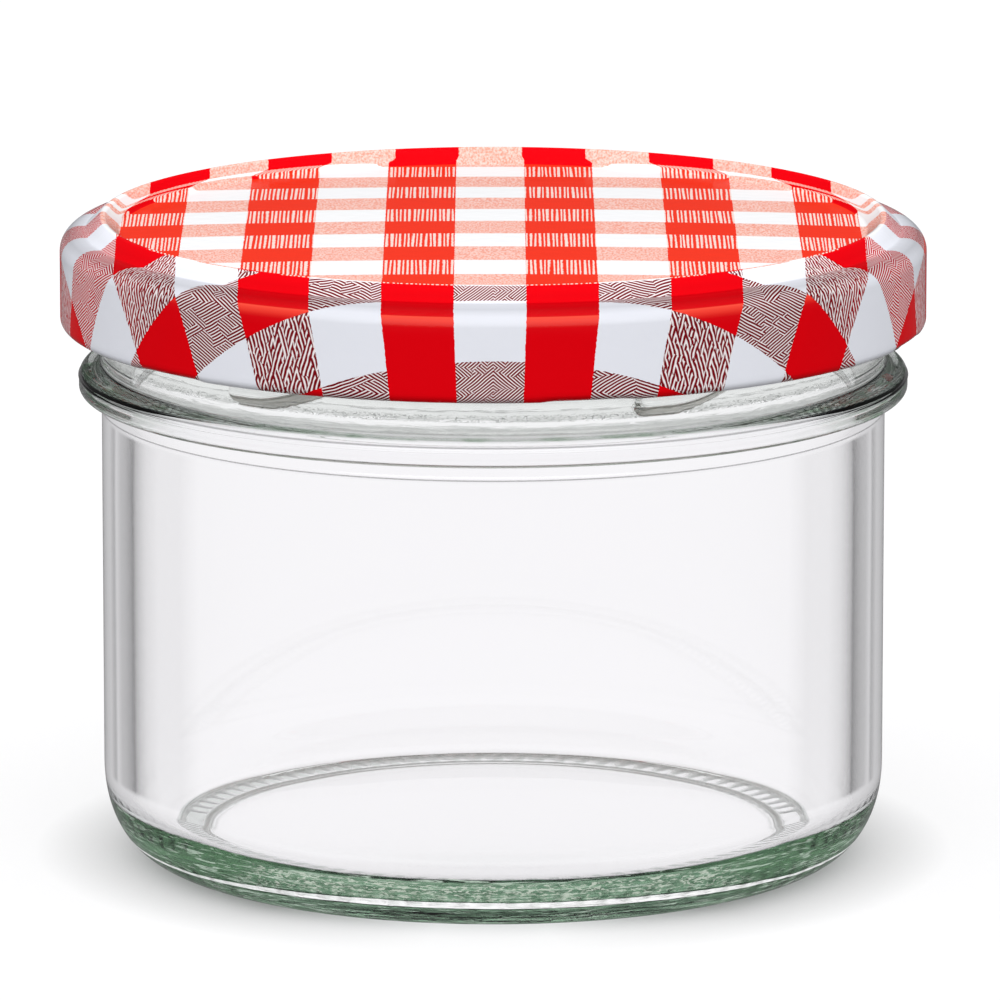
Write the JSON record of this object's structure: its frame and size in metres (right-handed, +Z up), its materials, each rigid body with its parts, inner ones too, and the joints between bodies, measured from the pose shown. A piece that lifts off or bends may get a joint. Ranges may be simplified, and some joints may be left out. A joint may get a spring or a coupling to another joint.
{
  "type": "canning jar",
  "caption": "Low cylindrical glass preserving jar with a rounded collar, inclined thread leads and a gingham-printed metal lug lid that turns and lifts off.",
  "frame": {"origin": "centre of the bearing ring that the jar stands on", "axes": "+Z up along the jar's axis, -Y towards the side the picture shows, +X to its right"},
  "size_m": [0.086, 0.086, 0.0643],
  "materials": {
    "clear_glass": "clear, slightly green in thick places, glossy",
    "printed_lacquer": "red and white printed lacquer, glossy",
    "sealing_compound": "off-white, matt"
  },
  "bodies": {
    "jar": {"glass_jar": "clear_glass"},
    "seal": {"sealing_ring": "sealing_compound"},
    "lid": {"lid_shell": "printed_lacquer"}
  },
  "joints": [
    {"name": "lid_lift", "type": "slide", "parent": "jar", "child": "seal", "axis": [0, 0, 1], "range_m": [0, 0.08]},
    {"name": "lid_twist", "type": "hinge", "parent": "seal", "child": "lid", "pos_m": [0, 0, 0.0589], "axis": [0, 0, 1], "range_deg": [-22, 0]}
  ]
}
